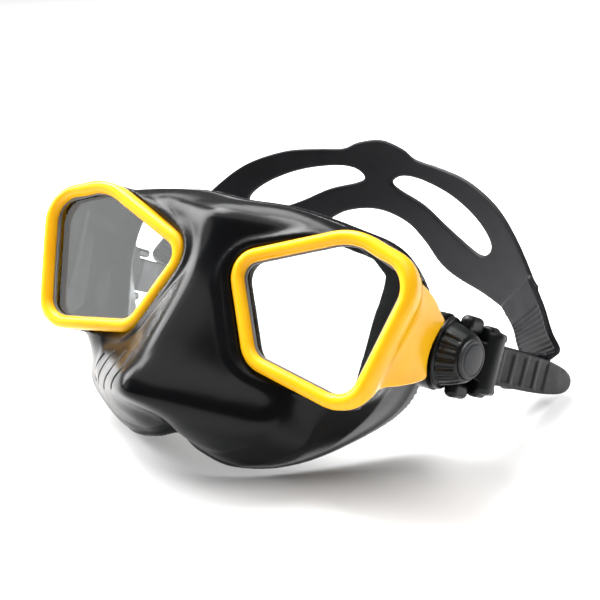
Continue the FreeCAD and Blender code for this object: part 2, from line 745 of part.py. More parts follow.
def strap():
    sections = strap_arm()
    arm = Part.makeLoft(sections, True, True)
    return strap_band().fuse(both_sides(arm))


strap_part = doc.addObject("Part::Feature", "strap_shape")
strap_part.Shape = strap()
strap_part.Placement = Placement(Vector(0, size("stance_depth"), size("stance_height")),
                                 Rotation())
keep(strap_part, "head_strap")

# ---------------------------------------------------------------- checks and files

doc.recompute()
for item in doc.Objects:
    if "Invalid" in item.State or "Error" in item.State:
        raise RuntimeError(f"{item.Name} failed: {item.State}")
whole = FreeCAD.BoundBox()
for item in sub_parts:
    shape = item.Shape
    if shape.isNull() or not shape.isValid() or not shape.Solids:
        raise RuntimeError(f"{item.Label} has no valid solid")
    whole.add(shape.optimalBoundingBox())
    shape.exportStep(f"parts/{item.Label}.step")
    print(f"{item.Label}: {len(shape.Solids)} solid, {shape.Volume:.0f} mm3")
print("box", whole)
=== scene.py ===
"""Looks of the two-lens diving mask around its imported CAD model.

Moulded parts are modelled as distance fields in millimetres, turned into meshes by surface nets,
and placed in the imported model's frame in metres. Three frames are used:
- mask frame: lenses in the XZ plane looking along -Y, middle plane of the face at X = 0;
- level frame: the mask frame leaned back as the mask stands, with the same origin;
- buckle frame: origin on the swivel axis, X out of the buckle, Y towards the strap, Z across.
"""
import bmesh
import bpy
import json
import math
import numpy as np
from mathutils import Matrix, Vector


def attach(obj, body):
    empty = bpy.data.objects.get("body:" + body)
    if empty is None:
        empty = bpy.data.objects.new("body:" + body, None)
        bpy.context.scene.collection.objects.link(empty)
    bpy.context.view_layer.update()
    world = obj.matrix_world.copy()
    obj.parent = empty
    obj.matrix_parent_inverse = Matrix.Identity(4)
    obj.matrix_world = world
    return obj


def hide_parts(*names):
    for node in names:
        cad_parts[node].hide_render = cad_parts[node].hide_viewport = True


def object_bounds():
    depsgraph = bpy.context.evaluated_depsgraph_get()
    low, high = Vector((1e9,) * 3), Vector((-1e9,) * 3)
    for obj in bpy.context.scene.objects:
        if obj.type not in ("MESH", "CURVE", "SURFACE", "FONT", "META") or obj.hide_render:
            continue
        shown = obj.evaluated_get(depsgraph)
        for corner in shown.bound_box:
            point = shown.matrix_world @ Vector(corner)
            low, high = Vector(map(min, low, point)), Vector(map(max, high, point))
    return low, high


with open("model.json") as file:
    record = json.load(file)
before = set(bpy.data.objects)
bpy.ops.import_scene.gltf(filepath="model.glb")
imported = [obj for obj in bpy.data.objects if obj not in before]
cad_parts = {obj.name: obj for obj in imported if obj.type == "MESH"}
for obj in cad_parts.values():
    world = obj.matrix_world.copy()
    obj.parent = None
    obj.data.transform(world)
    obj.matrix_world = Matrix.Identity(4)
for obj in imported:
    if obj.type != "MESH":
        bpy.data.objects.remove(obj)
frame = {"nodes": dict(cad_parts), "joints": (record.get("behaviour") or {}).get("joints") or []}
cad_low, cad_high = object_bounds()
scene = bpy.context.scene

# ------------------------------------------------------------------ frames and sizes

joints = {joint["name"]: joint for joint in frame["joints"]}
roller_axis = joints["left_roller_spin"]["axis"]
LEAN = math.atan2(roller_axis[1], roller_axis[2])
HUB = np.array([76.0, 40.5, -3.4])          # swivel point in the mask frame
SPLAY = math.radians(15.1)                  # a buckle points outwards by this
MM = 0.001


def lean_back(points):
    """Mask frame to level frame."""
    x, y, z = np.asarray(points, float).T
    cos, sin = math.cos(LEAN), math.sin(LEAN)
    return np.stack([x, cos * y + sin * z, -sin * y + cos * z], 1)


def out_of_buckle(points):
    """Left buckle frame to mask frame."""
    x, y, z = np.asarray(points, float).T
    cos, sin = math.cos(SPLAY), math.sin(SPLAY)
    return np.stack([cos * x + sin * y, -sin * x + cos * y, z], 1) + HUB


pivot = np.array(joints["left_buckle_swivel"]["pos_m"]) / MM
SHIFT = pivot - lean_back([HUB])[0]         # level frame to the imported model's frame


def place_level(points):
    return (np.asarray(points, float) + SHIFT) * MM


def place_mask(points):
    return place_level(lean_back(points))


def place_buckle(points):
    return place_mask(out_of_buckle(points))


# ------------------------------------------------------------------ distance field tools


def smooth_min(a, b, blend):
    mix = np.clip(0.5 + 0.5 * (b - a) / blend, 0, 1)
    return b + (a - b) * mix - blend * mix * (1 - mix)


def smooth_max(a, b, blend):
    return -smooth_min(-a, -b, blend)


def smooth_step(value, low, high):
    t = np.clip((value - low) / (high - low), 0, 1)
    return t * t * (3 - 2 * t)


def cubic(value, knots, heights):
    """Natural cubic spline through the knots, level beyond its ends."""
    knots, heights = np.asarray(knots, float), np.asarray(heights, float)
    gap = np.diff(knots)
    rise = np.diff(heights) / gap
    size = len(knots)
    matrix = np.eye(size)
    target = np.zeros(size)
    for row in range(1, size - 1):
        matrix[row, row - 1:row + 2] = gap[row - 1], 2 * (gap[row - 1] + gap[row]), gap[row]
        target[row] = 6 * (rise[row] - rise[row - 1])
    bend = np.linalg.solve(matrix, target)
    value = np.clip(value, knots[0], knots[-1])
    cell = np.clip(np.searchsorted(knots, value) - 1, 0, size - 2)
    g, a, b = gap[cell], knots[cell + 1] - value, value - knots[cell]
    return (bend[cell] * a ** 3 + bend[cell + 1] * b ** 3) / (6 * g) \
        + (heights[cell] / g - bend[cell] * g / 6) * a \
        + (heights[cell + 1] / g - bend[cell + 1] * g / 6) * b


def rounded_corners(corners, steps=10):
    """Closed outline with a tangent arc at each (u, v, radius) corner."""
    points = []
    count = len(corners)
    for index, (u, v, radius) in enumerate(corners):
        here = np.array([u, v])
        before = np.array(corners[index - 1][:2]) - here
        after = np.array(corners[(index + 1) % count][:2]) - here
        before, after = before / np.linalg.norm(before), after / np.linalg.norm(after)
        half = math.acos(float(before @ after)) / 2
        inward = (before + after) / np.linalg.norm(before + after)
        centre = here + inward * radius / math.sin(half)
        start = here + before * radius / math.tan(half) - centre
        end = here + after * radius / math.tan(half) - centre
        first = math.atan2(start[1], start[0])
        sweep = math.atan2(end[1], end[0]) - first
        sweep = (sweep + math.pi) % (2 * math.pi) - math.pi
        for step in range(steps + 1):
            angle = first + sweep * step / steps
            points.append(centre + radius * np.array([math.cos(angle), math.sin(angle)]))
    return np.array(points)


def smooth_loop(points, steps=8):
    """Closed Catmull-Rom curve through the points."""
    p = np.asarray(points, float)
    a, b, c, d = np.roll(p, 1, 0), p, np.roll(p, -1, 0), np.roll(p, -2, 0)
    t = (np.arange(steps) / steps)[:, None, None]
    curve = 0.5 * (2 * b + (c - a) * t + (2 * a - 5 * b + 4 * c - d) * t ** 2
                   + (3 * b - a - 3 * c + d) * t ** 3)
    return curve.transpose(1, 0, 2).reshape(-1, 2)


def outline_distance(outline, u, v):
    """Signed distance from points to a closed outline, negative inside."""
    u, v = np.broadcast_arrays(u, v)
    best = np.full(u.shape, 1e9)
    inside = np.zeros(u.shape, bool)
    for (au, av), (bu, bv) in zip(outline, np.roll(outline, -1, 0)):
        du, dv = bu - au, bv - av
        length = du * du + dv * dv
        if length < 1e-12:
            continue
        t = np.clip(((u - au) * du + (v - av) * dv) / length, 0, 1)
        best = np.minimum(best, (u - au - t * du) ** 2 + (v - av - t * dv) ** 2)
        if av != bv:
            crosses = ((av > v) != (bv > v)) & (u < du * (v - av) / (bv - av) + au)
            inside ^= crosses
    return np.where(inside, -1, 1) * np.sqrt(best)


def rounded_box(distances, radius):
    """Intersection of slabs given by their signed distances, with rounded edges."""
    moved = [d + radius for d in distances]
    outer = sum(np.maximum(d, 0) ** 2 for d in moved) ** 0.5
    inner = moved[0]
    for d in moved[1:]:
        inner = np.maximum(inner, d)
    return outer + np.minimum(inner, 0) - radius


def even_distance(field, step, least=0.6):
    """Field divided by its slope, so that it measures millimetres near its surface."""
    slope = np.sqrt(sum(part ** 2 for part in np.gradient(field, step)))
    return field / np.maximum(slope, least)


def grid_axes(low, high, step):
    axes = [np.arange(a, b + step, step, dtype=np.float32) for a, b in zip(low, high)]
    x, y, z = axes
    return x[:, None, None], y[None, :, None], z[None, None, :]


def sample(field, points):
    """Trilinear value of the field at points in grid units."""
    limit = np.array(field.shape) - 1.001
    p = np.clip(points, 0, limit)
    base = p.astype(int)
    f = p - base
    total = np.zeros(len(p))
    for i in (0, 1):
        for j in (0, 1):
            for k in (0, 1):
                weight = ((f[:, 0] if i else 1 - f[:, 0]) * (f[:, 1] if j else 1 - f[:, 1])
                          * (f[:, 2] if k else 1 - f[:, 2]))
                total += weight * field[base[:, 0] + i, base[:, 1] + j, base[:, 2] + k]
    return total


def surface_nets(field, low, step, relax=3):
    """Quad mesh of the field's zero surface: vertices in millimetres, and faces."""
    shape = np.array(field.shape)
    cells = shape - 1
    count = np.zeros(cells.prod())
    total = np.zeros((cells.prod(), 3))
    quads = []
    strides = np.array([cells[1] * cells[2], cells[2], 1])
    for axis in range(3):
        side, up = (axis + 1) % 3, (axis + 2) % 3
        near = np.take(field, range(0, shape[axis] - 1), axis)
        far = np.take(field, range(1, shape[axis]), axis)
        where = np.stack(np.nonzero((near < 0) != (far < 0)), 1)
        a, b = near[tuple(where.T)], far[tuple(where.T)]
        crossing = where.astype(float)
        crossing[:, axis] += a / (a - b)
        inner = np.all((where[:, [side, up]] > 0) & (where[:, [side, up]] < cells[[side, up]]), 1)
        where, crossing, a = where[inner], crossing[inner], a[inner]
        corners = []
        for d_side, d_up in ((1, 1), (0, 1), (0, 0), (1, 0)):
            cell = where.copy()
            cell[:, side] -= d_side
            cell[:, up] -= d_up
            flat = cell @ strides
            corners.append(flat)
            count += np.bincount(flat, minlength=len(count))
            for part in range(3):
                total[:, part] += np.bincount(flat, crossing[:, part], len(count))
        faces = np.stack(corners, 1)
        faces[a > 0] = faces[a > 0][:, ::-1]
        quads.append(faces)
    quads = np.concatenate(quads)
    used = np.nonzero(count)[0]
    points = total[used] / count[used, None]
    index = np.zeros(len(count), int)
    index[used] = np.arange(len(used))
    quads = index[quads]
    pairs = np.concatenate([quads[:, [0, 1]], quads[:, [1, 2]], quads[:, [2, 3]], quads[:, [3, 0]]])
    pairs = np.concatenate([pairs, pairs[:, ::-1]])
    degree = np.bincount(pairs[:, 0], minlength=len(points))[:, None]
    for _ in range(relax):
        mean = np.stack([np.bincount(pairs[:, 0], points[pairs[:, 1], k], len(points))
                         for k in range(3)], 1) / degree
        points = points + 0.6 * (mean - points)
        value = sample(field, points)
        slope = np.stack([sample(field, points + d) - sample(field, points - d)
                          for d in 0.5 * np.eye(3)], 1)
        steepness = np.maximum((slope ** 2).sum(1), (0.3 * step) ** 2)
        move = slope * (value / steepness)[:, None]
        points = points - np.clip(move, -0.4, 0.4)
    return points * step + np.asarray(low), quads


def mesh_piece(name, points, faces, material, place, mirror=False):
    """Smooth-shaded object from millimetre points, mirrored for the right-hand side."""
    placed = place(points)
    faces = [list(face) for face in faces]
    if mirror:
        placed[:, 0] *= -1
        faces = [face[::-1] for face in faces]
    mesh = bpy.data.meshes.new(name)
    mesh.from_pydata(placed.tolist(), [], faces)
    mesh.validate()
    mesh.polygons.foreach_set("use_smooth", [True] * len(mesh.polygons))
    mesh.materials.append(material)
    piece = bpy.data.objects.new(name, mesh)
    scene.collection.objects.link(piece)
    return piece


def whole(points, faces, step):
    """Both halves of a piece from its half mesh, welded on the middle plane."""
    seam = np.abs(points[:, 0]) < 0.4 * step
    points[seam, 0] = 0
    faces = faces[np.all(points[faces, 0] >= 0, axis=1)]
    used = np.unique(faces)
    order = np.zeros(len(points), int)
    order[used] = np.arange(len(used))
    points, faces, seam = points[used], order[faces], seam[used]
    twin = np.arange(len(points))
    twin[~seam] = len(points) + np.arange((~seam).sum())
    points = np.concatenate([points, points[~seam] * (-1, 1, 1)])
    return points, np.concatenate([faces, twin[faces][:, ::-1]])


def engrave(points, faces, chosen, depth, cuts=3):
    """Split the chosen part of a mesh finely and press it in along its normals."""
    net = bmesh.new()
    corners = [net.verts.new(point) for point in points.tolist()]
    for face in faces.tolist():
        net.faces.new([corners[index] for index in face])
    net.verts.index_update()
    edges = [edge for edge in net.edges
             if chosen[edge.verts[0].index] and chosen[edge.verts[1].index]]
    bmesh.ops.subdivide_edges(net, edges=edges, cuts=cuts, use_grid_fill=True)
    net.normal_update()
    net.verts.index_update()
    places = np.array([corner.co for corner in net.verts])
    normals = np.array([corner.normal for corner in net.verts])
    pressed = places - normals * depth(places, normals)[:, None]
    split = [[corner.index for corner in face.verts] for face in net.faces]
    net.free()
    return pressed, split


def field_mesh(field, low, high, step, relax=3):
    """Mesh of a field given as a function of the three grid axes."""
    values = field(*grid_axes(low, high, step)).astype(np.float32)
    return surface_nets(values, low, step, relax)


# ------------------------------------------------------------------ materials


def node_material(name, colour, roughness, specular=0.5):
    """Principled material with its nodes ready for detail."""
    material = bpy.data.materials.new(name)
    material.use_nodes = True
    nodes = material.node_tree.nodes
    shader = nodes["Principled BSDF"]
    shader.inputs["Base Color"].default_value = (*colour, 1)
    shader.inputs["Roughness"].default_value = roughness
    shader.inputs["Specular IOR Level"].default_value = specular
    return material, nodes, material.node_tree.links, shader


def noise(nodes, links, scale, detail=3.0):
    """Object-space noise, scale in features per metre."""
    place = nodes.new("ShaderNodeTexCoord")
    texture = nodes.new("ShaderNodeTexNoise")
    texture.inputs["Scale"].default_value = scale
    texture.inputs["Detail"].default_value = detail
    links.new(place.outputs["Object"], texture.inputs["Vector"])
    return texture.outputs["Fac"]


def ramp(nodes, links, source, low, high, dark, light):
    """Maps a factor from low..high to dark..light, numbers or colours."""
    if isinstance(dark, tuple):
        mapped = nodes.new("ShaderNodeValToRGB")
        mapped.color_ramp.elements[0].position = low
        mapped.color_ramp.elements[1].position = high
        mapped.color_ramp.elements[0].color = (*dark, 1)
        mapped.color_ramp.elements[1].color = (*light, 1)
        links.new(source, mapped.inputs["Fac"])
        return mapped.outputs["Color"]
    mapped = nodes.new("ShaderNodeMapRange")
    mapped.inputs["From Min"].default_value = low
    mapped.inputs["From Max"].default_value = high
    mapped.inputs["To Min"].default_value = dark
    mapped.inputs["To Max"].default_value = light
    links.new(source, mapped.inputs["Value"])
    return mapped.outputs["Result"]


def bump(nodes, links, shader, source, strength, distance):
    relief = nodes.new("ShaderNodeBump")
    relief.inputs["Strength"].default_value = strength
    relief.inputs["Distance"].default_value = distance
    links.new(source, relief.inputs["Height"])
    links.new(relief.outputs["Normal"], shader.inputs["Normal"])


CLOUD_SCALE, SMEAR_SCALE = 45, 160          # features per metre
GRAIN_STRENGTH = 0.35


def moulded(name, dark, light, rough_low, rough_high, grain, relief, specular=0.5):
    """Moulded plastic or silicone: cloudy colour, uneven gloss and a fine surface grain."""
    material, nodes, links, shader = node_material(name, light, rough_low, specular)
    cloud = noise(nodes, links, CLOUD_SCALE)
    links.new(ramp(nodes, links, cloud, 0.3, 0.7, dark, light), shader.inputs["Base Color"])
    smear = noise(nodes, links, SMEAR_SCALE, 5.0)
    links.new(ramp(nodes, links, smear, 0.35, 0.7, rough_low, rough_high),
              shader.inputs["Roughness"])
    bump(nodes, links, shader, noise(nodes, links, grain, 2.0), GRAIN_STRENGTH, relief)
    return material


YELLOW = moulded("yellow_frame", (0.86, 0.40, 0.006), (0.94, 0.50, 0.010), 0.16, 0.26, 900,
                 0.00001, specular=0.22)
SKIRT = moulded("skirt_silicone", (0.0022, 0.0024, 0.0028), (0.0034, 0.0036, 0.0042), 0.2, 0.26,
                700, 0.000008, specular=0.13)
STRAP = moulded("strap_silicone", (0.0045, 0.0045, 0.006), (0.007, 0.007, 0.009), 0.36, 0.5, 1800,
                0.00004, specular=0.2)
BLACK = moulded("black_nylon", (0.0035, 0.004, 0.0042), (0.0055, 0.006, 0.0065), 0.26, 0.4, 2600,
                0.00004, specular=0.24)
TAB_RUBBER = moulded("tab_rubber", (0.0035, 0.0038, 0.0042), (0.005, 0.0055, 0.006), 0.26, 0.4,
                     2200, 0.00004, specular=0.24)
CAP = moulded("cap_grey", (0.022, 0.023, 0.025), (0.032, 0.033, 0.036), 0.4, 0.55, 3000, 0.00006,
              specular=0.3)
GREY_SEAL = moulded("grey_gasket", (0.16, 0.17, 0.18), (0.22, 0.23, 0.24), 0.4, 0.55, 2000,
                    0.00004)
NYLON = moulded("white_nylon", (0.6, 0.59, 0.55), (0.7, 0.69, 0.65), 0.4, 0.55, 1500, 0.00004)


def steel():
    """Steel of the hidden pins, clips and axles."""
    material, nodes, links, shader = node_material("steel", (0.62, 0.63, 0.64), 0.3)
    shader.inputs["Metallic"].default_value = 1.0
    links.new(ramp(nodes, links, noise(nodes, links, 1200, 4.0), 0.3, 0.7, 0.22, 0.4),
              shader.inputs["Roughness"])
    return material


def lens_glass():
    """Clear tempered glass with a faint cool tint and light smears."""
    material, nodes, links, shader = node_material("lens_glass", (0.93, 0.97, 0.97), 0.0)
    shader.inputs["Transmission Weight"].default_value = 1.0
    shader.inputs["IOR"].default_value = 1.5
    links.new(ramp(nodes, links, noise(nodes, links, 60, 4.0), 0.45, 0.8, 0.0, 0.03),
              shader.inputs["Roughness"])
    return material


STEEL = steel()
GLASS = lens_glass()

# ------------------------------------------------------------------ camera, light and floor

CAMERA_PLACE = (197.8, -256.5, 131.9)       # level frame
CAMERA_TARGET = (38.0, 0.9, 1.7)
FOCAL_LENGTH, SENSOR_WIDTH = 60, 36
FLOOR_SIZE, FLOOR_GAP = 6.0, 0.0002          # metres
WORLD_STRENGTH = 0.22
LIGHTS = [                                   # name, place, aim, size and power
    ("top", (0, 0.35, 1.9), (0, 0.3, 0), (2.6, 2.6), 58),
    ("left", (-0.75, -0.1, 0.5), (0, 0, 0.05), (0.35, 0.6), 11),
    ("brow", (-0.42, 0.08, 0.8), (0, 0, 0.08), (0.34, 0.4), 9),
    ("brow_back", (-0.5, 0.46, 0.8), (0, 0, 0.08), (0.55, 0.5), 6),
    ("card", (-0.86, -0.76, 0.48), (0, 0, 0.05), (0.42, 0.6), 1.9),
]


def camera():
    """Camera above the wearer's left front, aimed near the left lens."""
    data = bpy.data.cameras.new("camera")
    data.lens = FOCAL_LENGTH
    data.sensor_width = SENSOR_WIDTH
    eye = bpy.data.objects.new("camera", data)
    scene.collection.objects.link(eye)
    start, end = (Vector(place_level(point)) for point in (CAMERA_PLACE, CAMERA_TARGET))
    eye.location = start
    eye.rotation_euler = (end - start).to_track_quat("-Z", "Y").to_euler()
    scene.camera = eye


def area_light(name, location, target, size, power):
    data = bpy.data.lights.new(name, "AREA")
    data.shape = "RECTANGLE"
    data.size, data.size_y = size
    data.energy = power
    lamp = bpy.data.objects.new(name, data)
    scene.collection.objects.link(lamp)
    lamp.location = location
    lamp.rotation_euler = (Vector(target) - Vector(location)).to_track_quat("-Z", "Y").to_euler()


def studio():
    """White floor, white surroundings and five soft boxes."""
    half = FLOOR_SIZE / 2
    mesh = bpy.data.meshes.new("floor")
    mesh.from_pydata([(-half, -half, 0), (half, -half, 0), (half, half, 0), (-half, half, 0)], [],
                     [(0, 1, 2, 3)])
    floor = bpy.data.objects.new("floor", mesh)
    scene.collection.objects.link(floor)
    floor.location.z = min(cad_low.z, 0.0) - FLOOR_GAP
    paint, nodes, links, shader = node_material("floor_paint", (0.9, 0.9, 0.9), 0.6, 0.2)
    links.new(ramp(nodes, links, noise(nodes, links, 3), 0.3, 0.7, 0.55, 0.65),
              shader.inputs["Roughness"])
    mesh.materials.append(paint)
    world = bpy.data.worlds.new("studio")
    world.use_nodes = True
    world.node_tree.nodes["Background"].inputs["Color"].default_value = (1, 1, 1, 1)
    world.node_tree.nodes["Background"].inputs["Strength"].default_value = WORLD_STRENGTH
    scene.world = world
    for light in LIGHTS:
        area_light(*light)


camera()
studio()
scene.view_settings.view_transform = "Standard"

# ------------------------------------------------------------------ window and frames

LENS_CENTRE = 44.0
WINDOW = rounded_corners([
    (LENS_CENTRE + 29.2, 16.0, 8.5),     # upper outer
    (LENS_CENTRE + 9.0, 23.6, 18.0),     # brow
    (LENS_CENTRE - 29.6, 8.4, 4.5),      # nose, upper
    (LENS_CENTRE - 16.2, -18.8, 6.5),    # nose, lower
    (LENS_CENTRE + 19.3, -25.0, 6.5),    # lower outer
])


def window_distance(x, z):
    """Distance outside the window's outline, in the lens plane."""
    return outline_distance(WINDOW, np.abs(x), z)


RIM_WIDTH = 5.5
RIM_INSIDE = 0.7            # the rim starts this far outside the glass opening
GASKET_SHOWS = 0.9          # more of the grey gasket shows on the outer side
GASKET_SIDES = (60, 69)     # it grows between these distances from the middle plane
RIM_FRONT, RIM_BACK = -3.8, 4.2
RIM_EDGE = 2.3              # edge radius
SEAT_OUT, SEAT_FRONT = 2.5, -0.5
WING_HALF = 1.5             # half thickness
WING_EDGE = 1.3
WING_BLEND = 4.0
# Side view of the wing (y, z).
WING_OUTLINE = smooth_loop([(-1, 21), (6, 17.0), (12, 14.8), (19, 12.4), (25, 9.6), (31, 6.4),
                            (34, -3),
                            (30, -12.6), (24.8, -15.6), (17, -17.6), (9, -19.5), (3, -23),
                            (-1, -24)])
WING_START, WING_LENGTH = 1, 30
WING_INNER_SIDE = 60        # the wing lies outside this distance from the middle plane
# Upper and lower edge of the wing's outer face at its start (x, z), and their change to its end.
WING_TOP, WING_TOP_CHANGE = (77.4, 17), (0.6, -8.5)
WING_LOW, WING_LOW_CHANGE = (70, -19.5), (7, 6)
WING_FLATTENS = (2, 17)     # depths over which it turns from the rim's outline to a flat face
SOCKET_RADIUS, SOCKET_EDGE = 14.0, 1.4
FRAME_STEP = 0.5


def frame_field(x, y, z):
    """Rounded rim, blended into the wing, with the lens seat and the buckle's socket cut out."""
    out = window_distance(x, z)
    inside = RIM_INSIDE + GASKET_SHOWS * smooth_step(x, *GASKET_SIDES)
    middle, half = (RIM_WIDTH + inside) / 2, (RIM_WIDTH - inside) / 2
    rim = rounded_box([np.abs(out - middle) - half,
                       np.abs(y - (RIM_BACK + RIM_FRONT) / 2) - (RIM_BACK - RIM_FRONT) / 2],
                      RIM_EDGE)
    back = np.clip((y - WING_START) / WING_LENGTH, -0.2, 1.2)
    top_x, top_z = (at + change * back for at, change in zip(WING_TOP, WING_TOP_CHANGE))
    low_x, low_z = (at + change * back for at, change in zip(WING_LOW, WING_LOW_CHANGE))
    outer = low_x + (top_x - low_x) * (z - low_z) / (top_z - low_z)
    flat = np.abs(x - outer + WING_HALF) - WING_HALF
    curved = np.abs(out - RIM_WIDTH + WING_HALF) - WING_HALF
    share = smooth_step(y, *WING_FLATTENS)
    plate = np.maximum((1 - share) * curved + share * flat, WING_INNER_SIDE - x)
    wing = rounded_box([plate, outline_distance(WING_OUTLINE, y, z) + 0 * x], WING_EDGE)
    radius = np.hypot(y - HUB[1], z - HUB[2])
    wing = smooth_max(wing, SOCKET_RADIUS - radius + 0 * x, SOCKET_EDGE)
    body = smooth_min(rim, wing, WING_BLEND)
    seat = np.maximum(out - SEAT_OUT, SEAT_FRONT - y)
    return np.maximum(body, -seat)


def frames():
    points, faces = field_mesh(frame_field, (5, -6, -34), (82, 34, 34), FRAME_STEP)
    for side, mirror in (("left", False), ("right", True)):
        piece = mesh_piece(f"frame_shell_{side}", points, faces, YELLOW, place_mask, mirror)
        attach(piece, "mask")
        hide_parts(f"frame_{side}")


# ------------------------------------------------------------------ skirt

SKIRT_WALL = 2.2
SKIRT_STEP = 0.7
LIP_PLACE, LIP_HALF, LIP_WIDTH = 0.9, 0.7, 7.5      # in front of the face, half thickness, width
# Half outline of the skirt, brow to lip, at four depths (x, z).
SKIRT_OUTLINES = {
    2.0: [(0, 31), (20, 30.5), (42, 27.5), (56, 22), (63, 8), (62.5, -8), (56, -22), (45, -35),
          (40, -46), (27, -55), (11, -56), (0, -50)],
    10.0: [(0, 32), (20, 32.5), (42, 29.5), (58, 24.5), (66, 10), (65.5, -8), (60, -23),
           (50.5, -36), (47, -47), (36, -55.5), (22, -59), (9, -58), (0, -55)],
    26.0: [(0, 33.5), (20, 34), (42, 31), (58, 26), (67, 11), (67, -8), (63, -26), (53.5, -40.5),
           (40, -53), (25, -58.5), (10, -58), (0, -55)],
    66.0: [(0, 35), (20, 35.5), (42, 32.5), (58, 27), (67.5, 12), (67.5, -8), (63, -26),
           (53.5, -40), (40, -52), (26, -57), (11, -57), (0, -55)],
}
# Nose ridge in the middle plane, from the upper lip to the brow (z, y).
RIDGE = [(-60, 9), (-54, 0), (-50.5, -6), (-47.5, -13), (-45, -21.5), (-42, -28),
         (-38.5, -29), (-34, -27.2), (-28, -22.8), (-19, -17.8), (-8, -12.5), (3, -7.8),
         (14, -5.4), (21, -4.8), (26, -3.2), (33, 3)]
# The same beside the middle, where the pocket's flank runs fuller into the upper lip.
FLANK = [(-60, 6), (-56, -6), (-53, -13), (-50, -19), (-46, -24.5), (-42, -28)] + RIDGE[6:]
# Steepness of the nose wedge and the rounding of its ridge at given heights.
SLOPE_HEIGHTS, SLOPES = [-58, -45, -19, 0, 20, 33], [0.75, 0.84, 0.88, 0.8, 0.6, 0.5]
ROUNDING_HEIGHTS, ROUNDINGS = [-58, -45, -38, -19, 33], [7, 6, 5, 5, 7]
RIDGE_HALF_WIDTH = 9.0
BULGE_HEIGHT, BULGE_SIDE, BULGE_WIDTH = 10, 19, 13  # cheek bulges beside the nose
COLLAR_HEIGHT, COLLAR_OUT, COLLAR_WIDTH = 1.5, 7.6, 2.0     # raised collar round the rim
# Where the wearer's face meets the skirt: depth in the middle and half width at given heights.
FACE_HEIGHTS = [-80, -50, 0, 45]
FACE_FRONTS = [6, 8, 11, 16]
FACE_HALF_WIDTHS = [50, 58, 75, 86]
FACE_LENGTH = 60.0
# Skirt round the window: distances outside its outline and depths.
TUNNEL_OUT, TUNNEL_FRONT, TUNNEL_BACK = 5.3, 4.2, 34
TAPER, TAPER_START = 0.3, 6
FLANGE_OUT, FLANGE_FRONT, FLANGE_BACK = 5.4, 3.5, 8.4
RIM_ROOM_OUT, RIM_ROOM_BACK = 5.6, 4.3
OPENING_OUT, OPENING_BACK = 2.1, 20
# Inner face of the wing, which the skirt stays clear of.
WING_FACE, WING_FACE_SLOPE, WING_FACE_HEIGHT, WING_CLEAR = 63.5, 0.203, -19.5, 3.0
# The skirt's wall at the temple shows through the lens out to these heights and sides.
TEMPLE_HEIGHTS = [-25, -18, 0, 12, 16, 20, 24]
TEMPLE_SIDES = [62.6, 63.2, 63.6, 64.6, 64.2, 59, 50]


def skirt_side(x, y, z):
    """Distance outside the skirt's outline, which changes with depth."""
    depths = list(SKIRT_OUTLINES)
    levels = []
    for half in SKIRT_OUTLINES.values():
        full = half + [(-u, v) for u, v in half[-2:0:-1]]
        levels.append(outline_distance(smooth_loop(full, 6), x, z))
    side = 0
    for index, depth in enumerate(depths):
        weight = np.interp(y, depths, np.eye(len(depths))[index])
        side = side + weight * levels[index]
    return side


def front_depth(x, z, out):
    """Depth of the skirt's front face: brow and cheeks, running into the wedge over the nose."""
    centre = np.exp(-(x / RIDGE_HALF_WIDTH) ** 2)
    ridge = centre * cubic(z, *zip(*RIDGE)) + (1 - centre) * cubic(z, *zip(*FLANK))
    slope = cubic(z, SLOPE_HEIGHTS, SLOPES)
    rounding = cubic(z, ROUNDING_HEIGHTS, ROUNDINGS)
    nose = ridge + slope * (np.sqrt(x * x + rounding ** 2) - rounding)
    bulge = BULGE_HEIGHT * np.exp(-((np.abs(x) - BULGE_SIDE) / BULGE_WIDTH) ** 2) \
        * smooth_step(-z, 24, 40)
    cheek = 1.0 + 0.0008 * x * x + 0.010 * np.maximum(-28 - z, 0) ** 2 \
        + 0.02 * np.maximum(z - 24, 0) ** 2 - bulge
    collar = COLLAR_HEIGHT * np.exp(-((out - COLLAR_OUT) / COLLAR_WIDTH) ** 2) \
        * (1 - smooth_step(np.abs(x), 24, 44))
    return smooth_min(nose, cheek, 7) - collar


